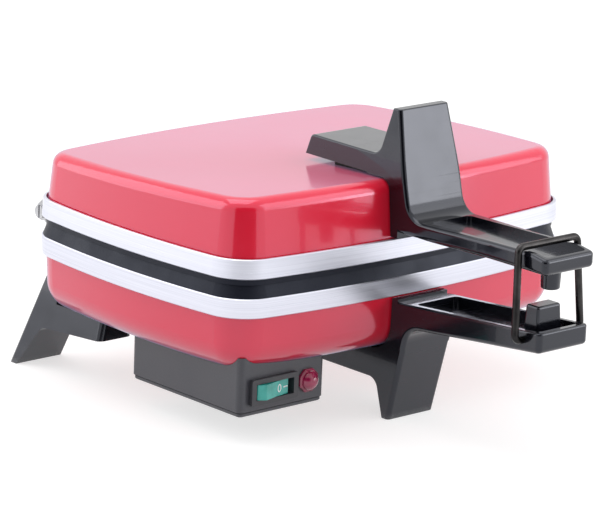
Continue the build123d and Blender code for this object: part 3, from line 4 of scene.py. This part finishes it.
import bpy
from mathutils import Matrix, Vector


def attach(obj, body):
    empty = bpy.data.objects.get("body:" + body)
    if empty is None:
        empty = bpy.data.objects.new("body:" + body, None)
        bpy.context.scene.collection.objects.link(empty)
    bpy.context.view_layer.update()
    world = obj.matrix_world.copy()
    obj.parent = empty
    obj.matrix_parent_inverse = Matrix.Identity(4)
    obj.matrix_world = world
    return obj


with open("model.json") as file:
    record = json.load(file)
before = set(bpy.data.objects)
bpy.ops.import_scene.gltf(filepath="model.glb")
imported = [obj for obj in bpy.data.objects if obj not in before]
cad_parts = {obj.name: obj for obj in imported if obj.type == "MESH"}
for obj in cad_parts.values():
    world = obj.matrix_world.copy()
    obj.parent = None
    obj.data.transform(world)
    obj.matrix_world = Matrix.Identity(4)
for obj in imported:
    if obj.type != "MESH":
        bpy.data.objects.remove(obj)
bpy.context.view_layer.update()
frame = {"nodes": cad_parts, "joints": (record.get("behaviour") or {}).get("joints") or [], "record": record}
UPRIGHT = math.radians(90.0)

# Camera: place and reach in metres, turn in degrees, lens and sensor in millimetres
CAMERA_SPOT = (-1.36044, -1.45274, 0.61283)
CAMERA_TURN = (74.8192, -2.133, -41.6014)
CAMERA_LENS = 223.197
CAMERA_SENSOR = 36.0
CAMERA_REACH = 50.0

# The rocker's face, a shallow V, and the marks printed on its right half, in metres
ROCKER_TURN = math.radians(12.0)
VALLEY_REACH = 0.0041
FACE_LEAN = math.radians(8.96)
RING_WIDTH = 0.0031
RING_HEIGHT = 0.0046
RING_ALONG = 0.0022
RING_CORNERS = 48
DASH_LENGTH = 0.0034
DASH_ALONG = 0.0072
MARK_STROKE = 0.0007
MARK_PROUD = 0.00008
DASH_EASING = MARK_STROKE / 8

# Light
WHITE = (1.0, 1.0, 1.0, 1.0)
WORLD_FILL = 0.63
WORLD_SEEN = 1.0
FLOOR_SIZE = 8.0
FLOOR_COLOUR = (0.46, 0.46, 0.46, 1.0)
FLOOR_ROUGHNESS = 0.9
FLOOR_LIFT = 0.66
CARD_SPOT = (-0.80, -0.90, 0.45)
CARD_SIZE = (1.5, 0.9, 0.0)
CARD_COLOUR = (0.02, 0.02, 0.022, 1.0)
SOFTBOX_AIM = Vector((0.0, 0.0, 0.09))
SOFTBOXES = {
    "softbox_top": {"spot": (-0.2, 0.3, 1.9), "size": 1.6, "power": 14.0},
    "softbox_left": {"spot": (-0.98, 1.05, 0.62), "size": 1.2, "power": 7.2},
    "softbox_front": {"spot": (1.05, -1.20, 0.86), "size": 1.4, "power": 9.2},
    "softbox_low": {"spot": (1.0, -1.19, 0.27), "size": 0.5, "power": 2.6},
}

# Tones of each finish, from deep to pale
ENAMEL_RED = (0.84, 0.008, 0.032, 1.0), (0.88, 0.012, 0.040, 1.0)
BRUSHED_SILVER = (0.64, 0.65, 0.74, 1.0), (0.80, 0.81, 0.90, 1.0)
COATING_BLACK = (0.003, 0.0035, 0.008, 1.0), (0.009, 0.010, 0.017, 1.0)
PHENOLIC_BLACK = (0.0035, 0.0038, 0.006, 1.0), (0.007, 0.0075, 0.012, 1.0)
SCUFF_GREY = (0.16, 0.16, 0.16, 1.0)
NYLON_BLACK = (0.024, 0.024, 0.030, 1.0), (0.044, 0.044, 0.054, 1.0)
BOX_BLACK = (0.044, 0.045, 0.056, 1.0), (0.068, 0.069, 0.084, 1.0)
PAD_GREY = (0.020, 0.019, 0.018, 1.0), (0.060, 0.056, 0.050, 1.0)
RUBBER_BLACK = (0.018, 0.018, 0.018, 1.0), (0.034, 0.034, 0.034, 1.0)
STEATITE = (0.70, 0.67, 0.60, 1.0), (0.82, 0.80, 0.74, 1.0)
BLACKENED_STEEL = (0.026, 0.025, 0.026, 1.0), (0.060, 0.057, 0.057, 1.0)
PLATED_STEEL = (0.34, 0.34, 0.355, 1.0), (0.52, 0.52, 0.54, 1.0)
BAKED_STEEL = (0.16, 0.13, 0.11, 1.0), (0.40, 0.36, 0.33, 1.0)
TRAY_STEEL = (0.60, 0.61, 0.62, 1.0), (0.80, 0.81, 0.82, 1.0)
ROCKER_GREEN = (0.012, 0.40, 0.34, 1.0), (0.03, 0.52, 0.45, 1.0)
LAMP_RED = (0.38, 0.012, 0.080, 1.0), (0.55, 0.03, 0.13, 1.0)
SLEEVE_CREAM = (0.56, 0.55, 0.50, 1.0), (0.78, 0.77, 0.72, 1.0)
INK_WHITE = (0.80, 0.83, 0.83, 1.0), (0.92, 0.94, 0.94, 1.0)

# Patterns shared by the finishes: a span is the part of the noise that shows
CLOUD_SPAN = (0.32, 0.68)
FINE_LINES = (14.0, 14.0, 5200.0)
FINE_SHARE = 0.55
BROAD_LINES = (5.0, 5.0, 1500.0)
BROAD_SHARE = 0.45
LINE_SPAN = (0.3, 0.7)
SCRATCH_STRETCH = (12.0, 900.0, 900.0)
SCRATCH_TURNS = (0.2, 0.4, 0.35), (0.2, 0.4, 1.4), (0.2, 0.4, 2.3)
SCRATCH_SPAN = (0.70, 0.78)
SCUFF_SCALE = 400.0

# Satin mouldings, pads and ceramic: grain is the fineness of their grain, depth its height in metres
SATIN_FINISHES = {
    "black_box": {"tones": BOX_BLACK, "roughness": (0.34, 0.46), "grain": 1300.0, "depth": 0.00005},
    "switch_black": {"tones": NYLON_BLACK, "roughness": (0.36, 0.48), "grain": 1800.0, "depth": 0.00003},
    "lamp_black": {"tones": NYLON_BLACK, "roughness": (0.40, 0.52), "grain": 1500.0, "depth": 0.00003},
    "thermostat_body": {"tones": NYLON_BLACK, "roughness": (0.45, 0.60), "grain": 900.0, "depth": 0.00006},
    "gasket": {"tones": PAD_GREY, "roughness": (0.8, 0.95), "grain": 1400.0, "depth": 0.0002},
    "grommet_rubber": {"tones": RUBBER_BLACK, "roughness": (0.6, 0.8), "grain": 700.0, "depth": 0.00008},
    "ceramic": {"tones": STEATITE, "roughness": (0.2, 0.35), "grain": 300.0, "depth": 0.00006},
}

# Bare metals: cloud is the fineness of their patches, and the working marks are finer than these.
# Depth is the height of the marks in metres.
METAL_FINISHES = {
    "steel_wire": {"tones": BLACKENED_STEEL, "roughness": (0.24, 0.38), "cloud": 60.0, "depth": 0.00003},
    "bright_steel": {"tones": PLATED_STEEL, "roughness": (0.18, 0.32), "cloud": 90.0, "depth": 0.00002},
    "heater_steel": {"tones": BAKED_STEEL, "roughness": (0.35, 0.60), "cloud": 45.0, "depth": 0.00003},
    "tray_sheet": {"tones": TRAY_STEEL, "roughness": (0.28, 0.46), "cloud": 70.0, "depth": 0.00003},
}
MARKS_PER_CLOUD = 12.0

# Clear mouldings: clearness is the share of light that they let through
CLEAR_FINISHES = {
    "rocker_green": {"tones": ROCKER_GREEN, "clearness": 0.10, "roughness": (0.18, 0.26)},
    "lamp_red": {"tones": LAMP_RED, "clearness": 0.25, "roughness": (0.10, 0.18)},
}


def show_plain_colour():
    """Colour is shown as it is written."""
    bpy.context.scene.view_settings.view_transform = "Standard"


def set_camera():
    data = bpy.data.cameras.new("camera")
    data.sensor_width = CAMERA_SENSOR
    data.lens = CAMERA_LENS
    data.clip_end = CAMERA_REACH
    camera = bpy.data.objects.new("camera", data)
    camera.location = CAMERA_SPOT
    camera.rotation_euler = [math.radians(angle) for angle in CAMERA_TURN]
    bpy.context.scene.collection.objects.link(camera)
    bpy.context.scene.camera = camera


# Small helpers for node trees
def add(tree, kind, **settings):
    """A node of one kind, with its settings."""
    node = tree.nodes.new(kind)
    for name, value in settings.items():
        setattr(node, name, value)
    return node


def feed(tree, source, socket):
    """A socket gets a plain value, or a link from another node's output."""
    if isinstance(source, bpy.types.NodeSocket):
        tree.links.new(source, socket)
    else:
        socket.default_value = source


def object_point(tree, scale=(1.0, 1.0, 1.0), turn=(0.0, 0.0, 0.0)):
    """The piece's own coordinates, scaled and turned for a pattern."""
    place = add(tree, "ShaderNodeTexCoord")
    mapping = add(tree, "ShaderNodeMapping")
    feed(tree, scale, mapping.inputs["Scale"])
    feed(tree, turn, mapping.inputs["Rotation"])
    feed(tree, place.outputs["Object"], mapping.inputs["Vector"])
    return mapping.outputs["Vector"]


def noise(tree, point, scale, detail=2.0, roughness=0.5):
    """A soft noise over the surface."""
    node = add(tree, "ShaderNodeTexNoise")
    feed(tree, point, node.inputs["Vector"])
    feed(tree, scale, node.inputs["Scale"])
    feed(tree, detail, node.inputs["Detail"])
    feed(tree, roughness, node.inputs["Roughness"])
    return node.outputs["Fac"]


def calculate(tree, operation, first, second):
    node = add(tree, "ShaderNodeMath", operation=operation)
    feed(tree, first, node.inputs[0])
    feed(tree, second, node.inputs[1])
    return node.outputs[0]


def remap(tree, value, span=(0.0, 1.0), onto=(0.0, 1.0), blend="LINEAR"):
    """A value carried from one span onto another, whose ends are numbers or sockets."""
    node = add(tree, "ShaderNodeMapRange", interpolation_type=blend)
    feed(tree, value, node.inputs["Value"])
    for label, end in zip(("From Min", "From Max", "To Min", "To Max"), (*span, *onto)):
        feed(tree, end, node.inputs[label])
    return node.outputs["Result"]


def mix_tones(tree, mask, tones):
    """Two colours mixed by a mask; each is a colour or a socket."""
    node = add(tree, "ShaderNodeMix", data_type="RGBA")
    colours = [socket for socket in node.inputs if socket.type == "RGBA"]
    feed(tree, mask, node.inputs["Factor"])
    for tone, socket in zip(tones, colours):
        feed(tree, tone, socket)
    return next(socket for socket in node.outputs if socket.type == "RGBA")


# Effects that several finishes share
def new_group(name, inputs, outputs):
    """An empty node group with a number socket for each name."""
    tree = bpy.data.node_groups.new(name, "ShaderNodeTree")
    for label, value in inputs.items():
        socket = tree.interface.new_socket(label, in_out="INPUT", socket_type="NodeSocketFloat")
        socket.default_value = value
    for label in outputs:
        tree.interface.new_socket(label, in_out="OUTPUT", socket_type="NodeSocketFloat")
    inlet = add(tree, "NodeGroupInput")
    outlet = add(tree, "NodeGroupOutput")
    return tree, inlet.outputs, outlet.inputs


def cloud_group():
    """Slow, soft variation, as of an uneven finish or faint handling marks."""
    tree, inlet, outlet = new_group("cloud", {"Scale": 20.0, "Low": 0.0, "High": 1.0}, ("Value",))
    patches = noise(tree, object_point(tree), inlet["Scale"], detail=5.0, roughness=0.6)
    value = remap(tree, patches, CLOUD_SPAN, (inlet["Low"], inlet["High"]), "SMOOTHSTEP")
    feed(tree, value, outlet["Value"])
    return tree


def brushed_group():
    """Fine straight brush lines that run level round the band, with broader streaks."""
    inputs = {"Fineness": 1.0, "Low": 0.0, "High": 1.0}
    tree, inlet, outlet = new_group("brushed_lines", inputs, ("Value", "Height"))
    fine = noise(tree, object_point(tree, FINE_LINES), inlet["Fineness"])
    broad = noise(tree, object_point(tree, BROAD_LINES), inlet["Fineness"])
    fine = calculate(tree, "MULTIPLY", fine, FINE_SHARE)
    broad = calculate(tree, "MULTIPLY", broad, BROAD_SHARE)
    lines = calculate(tree, "ADD", fine, broad)
    feed(tree, remap(tree, lines, LINE_SPAN, (inlet["Low"], inlet["High"])), outlet["Value"])
    feed(tree, lines, outlet["Height"])
    return tree


def grain_group():
    """Fine all-over grain: cast skin, moulded texture or fibre."""
    inputs = {"Scale": 900.0, "Low": 0.0, "High": 1.0}
    tree, inlet, outlet = new_group("grain", inputs, ("Value", "Height"))
    specks = noise(tree, object_point(tree), inlet["Scale"], detail=3.0)
    feed(tree, remap(tree, specks, onto=(inlet["Low"], inlet["High"])), outlet["Value"])
    feed(tree, specks, outlet["Height"])
    return tree


def hairline_group():
    """Sparse hairline scratches from handling, in a few directions."""
    tree, inlet, outlet = new_group("hairlines", {"Scale": 1.0, "Strength": 1.0}, ("Mask",))
    mask = 0.0
    for turn in SCRATCH_TURNS:
        streaks = noise(tree, object_point(tree, SCRATCH_STRETCH, turn), inlet["Scale"], detail=1.0)
        mask = calculate(tree, "MAXIMUM", mask, remap(tree, streaks, SCRATCH_SPAN))
    feed(tree, calculate(tree, "MULTIPLY", mask, inlet["Strength"]), outlet["Mask"])
    return tree


def sole_group():
    """Where a foot or post meets the table: strongest at the sole, gone at the given height."""
    tree, inlet, outlet = new_group("sole_scuff", {"Height": 0.006}, ("Mask",))
    split = add(tree, "ShaderNodeSeparateXYZ")
    feed(tree, object_point(tree), split.inputs["Vector"])
    fade = remap(tree, split.outputs["Z"], (0.0, inlet["Height"]), (1.0, 0.0))
    patches = noise(tree, object_point(tree), SCUFF_SCALE)
    feed(tree, calculate(tree, "MULTIPLY", fade, patches), outlet["Mask"])
    return tree


EFFECTS = {
    "cloud": cloud_group(),
    "brushed": brushed_group(),
    "grain": grain_group(),
    "hairlines": hairline_group(),
    "sole": sole_group(),
}


def effect(tree, name, **values):
    """One of the shared effects, placed in a material with its own values."""
    node = add(tree, "ShaderNodeGroup", node_tree=EFFECTS[name])
    for label, value in values.items():
        feed(tree, value, node.inputs[label])
    return node.outputs


# Finishes
def start_material(name, **sockets):
    """A material with its shader and the constants on the shader's own sockets."""
    material = bpy.data.materials.new(name)
    material.use_nodes = True
    tree = material.node_tree
    shader = tree.nodes["Principled BSDF"].inputs
    for label, value in sockets.items():
        feed(tree, value, shader[label.replace("_", " ")])
    return material, tree, shader


def vary_tone(tree, shader, mask, tones):
    feed(tree, mix_tones(tree, mask, tones), shader["Base Color"])


def vary_gloss(tree, shader, name, roughness, **values):
    """The roughness wanders between two limits, as an effect does, whose outputs are returned."""
    low, high = roughness
    outputs = effect(tree, name, Low=low, High=high, **values)
    feed(tree, outputs["Value"], shader["Roughness"])
    return outputs


def emboss(tree, shader, height, depth):
    """A bump of the given depth in metres."""
    bump = add(tree, "ShaderNodeBump")
    feed(tree, depth, bump.inputs["Distance"])
    feed(tree, height, bump.inputs["Height"])
    feed(tree, bump.outputs["Normal"], shader["Normal"])


def red_enamel():
    """Deep gloss enamel with faint orange peel and cloudy depth."""
    material, tree, shader = start_material(
        "red_enamel",
        Coat_Weight=0.45,
        Coat_Roughness=0.04,
        Specular_IOR_Level=0.95,
        Specular_Tint=(1.0, 0.66, 0.94, 1.0),
        # The bluish sheen at grazing angles is a painted reflection: it whitens and cools the lid top as a
        # bright ceiling would.
        Sheen_Weight=0.7,
        Sheen_Roughness=0.35,
        Sheen_Tint=(0.42, 0.62, 1.0, 1.0),
    )
    vary_tone(tree, shader, effect(tree, "cloud", Scale=7.0)["Value"], ENAMEL_RED)
    vary_gloss(tree, shader, "cloud", roughness=(0.14, 0.20), Scale=22.0)
    emboss(tree, shader, effect(tree, "grain", Scale=300.0)["Height"], depth=0.000008)
    return material


def brushed_band():
    """Brushed trim with level lines."""
    material, tree, shader = start_material("brushed_band", Metallic=1.0, Anisotropic=0.5)
    lines = effect(tree, "brushed", Fineness=1.0)
    vary_tone(tree, shader, lines["Value"], BRUSHED_SILVER)
    vary_gloss(tree, shader, "brushed", roughness=(0.26, 0.42), Fineness=0.8)
    emboss(tree, shader, lines["Height"], depth=0.00001)
    return material


def cast_plate():
    """Dark non-stick coating over a cast skin."""
    material, tree, shader = start_material(
        "cast_plate",
        Specular_IOR_Level=0.32,
        Specular_Tint=(0.74, 0.80, 1.0, 1.0),
    )
    specks = effect(tree, "grain", Scale=1500.0)
    vary_tone(tree, shader, specks["Value"], COATING_BLACK)
    vary_gloss(tree, shader, "cloud", roughness=(0.34, 0.50), Scale=40.0)
    emboss(tree, shader, specks["Height"], depth=0.00008)
    return material


def black_moulding():
    """Polished phenolic moulding with handling marks and scuffed soles."""
    material, tree, shader = start_material(
        "black_moulding",
        Coat_Weight=0.35,
        Coat_Roughness=0.03,
        Specular_IOR_Level=0.5,
        Specular_Tint=(0.80, 0.84, 1.0, 1.0),
    )
    clean = mix_tones(tree, effect(tree, "cloud", Scale=30.0)["Value"], PHENOLIC_BLACK)
    vary_tone(tree, shader, effect(tree, "sole", Height=0.004)["Mask"], (clean, SCUFF_GREY))
    polish = effect(tree, "cloud", Scale=48.0, Low=0.14, High=0.22)["Value"]
    scratches = effect(tree, "hairlines", Scale=1.0, Strength=0.12)["Mask"]
    feed(tree, calculate(tree, "ADD", polish, scratches), shader["Roughness"])
    emboss(tree, shader, effect(tree, "grain", Scale=520.0)["Height"], depth=0.000006)
    return material


def satin_moulding(name, tones, roughness, grain, depth):
    """Satin plastic, rubber, pad or ceramic with a fine grain."""
    material, tree, shader = start_material(name, Specular_IOR_Level=0.6)
    specks = effect(tree, "grain", Scale=grain)
    vary_tone(tree, shader, specks["Value"], tones)
    vary_gloss(tree, shader, "cloud", roughness, Scale=35.0)
    emboss(tree, shader, specks["Height"], depth)
    return material


def bare_metal(name, tones, roughness, cloud, depth):
    """Plain metal with fine working marks."""
    material, tree, shader = start_material(name, Metallic=1.0)
    vary_tone(tree, shader, effect(tree, "cloud", Scale=cloud)["Value"], tones)
    marks = vary_gloss(tree, shader, "grain", roughness, Scale=cloud * MARKS_PER_CLOUD)
    emboss(tree, shader, marks["Height"], depth)
    return material


def clear_moulding(name, tones, clearness, roughness):
    """Tinted clear plastic with a faint ripple."""
    material, tree, shader = start_material(name, Transmission_Weight=clearness, Coat_Weight=0.5)
    vary_tone(tree, shader, effect(tree, "cloud", Scale=160.0)["Value"], tones)
    vary_gloss(tree, shader, "cloud", roughness, Scale=300.0)
    emboss(tree, shader, effect(tree, "grain", Scale=420.0)["Height"], depth=0.00004)
    return material


def braided_sleeve():
    """Glass-fibre sleeve of the inner leads."""
    material, tree, shader = start_material("lead_sleeve", Roughness=0.75)
    weave = add(tree, "ShaderNodeTexWave", wave_type="BANDS", bands_direction="DIAGONAL")
    feed(tree, 420.0, weave.inputs["Scale"])
    feed(tree, 1.5, weave.inputs["Distortion"])
    feed(tree, object_point(tree), weave.inputs["Vector"])
    vary_tone(tree, shader, weave.outputs["Fac"], SLEEVE_CREAM)
    emboss(tree, shader, weave.outputs["Fac"], depth=0.0001)
    return material


def white_ink():
    """The print of the switch's marks."""
    material, tree, shader = start_material("mark_ink", Roughness=0.5)
    vary_tone(tree, shader, effect(tree, "grain", Scale=2600.0)["Value"], INK_WHITE)
    return material


def make_materials():
    """Every finish of the part, by the name of its slot."""
    materials = {
        "red_enamel": red_enamel(),
        "brushed_band": brushed_band(),
        "cast_plate": cast_plate(),
        "black_moulding": black_moulding(),
        "lead_sleeve": braided_sleeve(),
    }
    for name, finish in SATIN_FINISHES.items():
        materials[name] = satin_moulding(name, **finish)
    for name, finish in METAL_FINISHES.items():
        materials[name] = bare_metal(name, **finish)
    for name, finish in CLEAR_FINISHES.items():
        materials[name] = clear_moulding(name, **finish)
    return materials


def dress_nodes(materials):
    """Every CAD node gets the finish of its material slot."""
    finish = {row["node"]: materials[row["material_slot"]] for row in frame["record"]["subparts"]}
    for name, node in frame["nodes"].items():
        if not node.material_slots:
            node.data.materials.append(finish[name])
        for slot in node.material_slots:
            slot.material = finish[name]


# The switch's printed marks
def rocker_valley():
    """The bottom of the rocker's shallow V, worked out from its pivot."""
    tilt = next(joint for joint in frame["joints"] if joint["name"] == "rocker_tilt")
    ahead = Vector((math.sin(ROCKER_TURN), -math.cos(ROCKER_TURN), 0.0))
    return Vector(tilt["pos_m"]) + VALLEY_REACH * ahead


def print_on_rocker(piece, name, along, ink):
    """Stands a mark, drawn flat at the origin, on the rocker's right half, away from its valley."""
    to_the_right = Vector((math.cos(FACE_LEAN), math.sin(FACE_LEAN), 0.0))
    piece.rotation_euler = (UPRIGHT, 0.0, FACE_LEAN)
    piece.location = rocker_valley() + along * to_the_right
    bpy.ops.object.transform_apply(location=True, rotation=True, scale=True)
    piece.name = name
    piece.data.materials.append(ink)
    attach(piece, "rocker")
    bpy.ops.object.select_all(action="DESELECT")


def make_off_mark(ink):
    """The 0: a flat oval ring."""
    bpy.ops.mesh.primitive_circle_add(
        vertices=RING_CORNERS, radius=RING_WIDTH / 2, fill_type="NGON", location=(0.0, 0.0, 0.0)
    )
    ring = bpy.context.object
    bpy.ops.object.mode_set(mode="EDIT")
    bpy.ops.mesh.select_all(action="SELECT")
    bpy.ops.transform.resize(value=(1.0, RING_HEIGHT / RING_WIDTH, 1.0))
    bpy.ops.mesh.inset(thickness=MARK_STROKE)
    bpy.ops.mesh.delete(type="ONLY_FACE")
    bpy.ops.object.mode_set(mode="OBJECT")
    bpy.ops.object.modifier_add(type="SOLIDIFY")
    wall = ring.modifiers[0]
    wall.thickness = MARK_PROUD
    wall.offset = 1.0
    bpy.ops.object.modifier_apply(modifier=wall.name)
    print_on_rocker(ring, "off_mark", RING_ALONG, ink)


def make_on_mark(ink):
    """The dash: a flat bar with eased edges."""
    bpy.ops.mesh.primitive_cube_add(size=1.0, location=(0.0, 0.0, 0.0))
    dash = bpy.context.object
    bpy.ops.object.mode_set(mode="EDIT")
    bpy.ops.mesh.select_all(action="SELECT")
    bpy.ops.transform.resize(value=(DASH_LENGTH, MARK_STROKE, MARK_PROUD))
    bpy.ops.transform.translate(value=(0.0, 0.0, MARK_PROUD / 2))
    bpy.ops.mesh.bevel(offset=DASH_EASING, segments=2)
    bpy.ops.object.mode_set(mode="OBJECT")
    print_on_rocker(dash, "on_mark", DASH_ALONG, ink)


# Stage and light
def make_floor():
    """Pale paper that reads white to the camera and in gloss, and keeps the shadow."""
    bpy.ops.mesh.primitive_plane_add(size=FLOOR_SIZE, location=(0.0, 0.0, 0.0))
    floor = bpy.context.object
    floor.name = "floor"
    material, tree, shader = start_material(
        "floor_paper", Roughness=FLOOR_ROUGHNESS, Base_Color=FLOOR_COLOUR, Emission_Color=WHITE
    )
    path = add(tree, "ShaderNodeLightPath").outputs
    seen = calculate(tree, "MAXIMUM", path["Is Camera Ray"], path["Is Glossy Ray"])
    feed(tree, calculate(tree, "MULTIPLY", seen, FLOOR_LIFT), shader["Emission Strength"])
    floor.data.materials.append(material)


def make_world():
    """A soft fill, which reads white to the camera, in gloss and through clear pieces."""
    world = bpy.data.worlds.new("studio")
    bpy.context.scene.world = world
    world.use_nodes = True
    tree = world.node_tree
    background = tree.nodes["Background"].inputs
    path = add(tree, "ShaderNodeLightPath").outputs
    seen = calculate(tree, "MAXIMUM", path["Is Camera Ray"], path["Is Glossy Ray"])
    seen = calculate(tree, "MAXIMUM", seen, path["Is Transmission Ray"])
    feed(tree, WHITE, background["Color"])
    feed(tree, remap(tree, seen, onto=(WORLD_FILL, WORLD_SEEN)), background["Strength"])


def make_dark_card():
    """The unlit room behind the camera, which only reflections show."""
    bpy.ops.mesh.primitive_plane_add(size=1.0, location=(0.0, 0.0, 0.0))
    card = bpy.context.object
    card.name = "dark_card"
    card.dimensions = CARD_SIZE
    card.rotation_euler = (UPRIGHT, 0.0, math.radians(CAMERA_TURN[2]))
    card.location = CARD_SPOT
    material, _, _ = start_material(
        "dark_card", Roughness=1.0, Specular_IOR_Level=0.0, Base_Color=CARD_COLOUR
    )
    card.data.materials.append(material)
    card.visible_camera = False
    card.visible_diffuse = False
    card.visible_shadow = False


def add_softbox(name, spot, size, power):
    """A square soft light aimed at the middle of the part."""
    data = bpy.data.lights.new(name, "AREA")
    data.shape = "SQUARE"
    data.size = size
    data.energy = power
    lamp = bpy.data.objects.new(name, data)
    lamp.location = spot
    lamp.rotation_euler = (SOFTBOX_AIM - Vector(spot)).to_track_quat("-Z", "Y").to_euler()
    bpy.context.scene.collection.objects.link(lamp)


bpy.ops.object.select_all(action="DESELECT")
show_plain_colour()
set_camera()
dress_nodes(make_materials())
mark_ink = white_ink()
make_off_mark(mark_ink)
make_on_mark(mark_ink)
make_floor()
make_world()
make_dark_card()
for name, softbox in SOFTBOXES.items():
    add_softbox(name, **softbox)
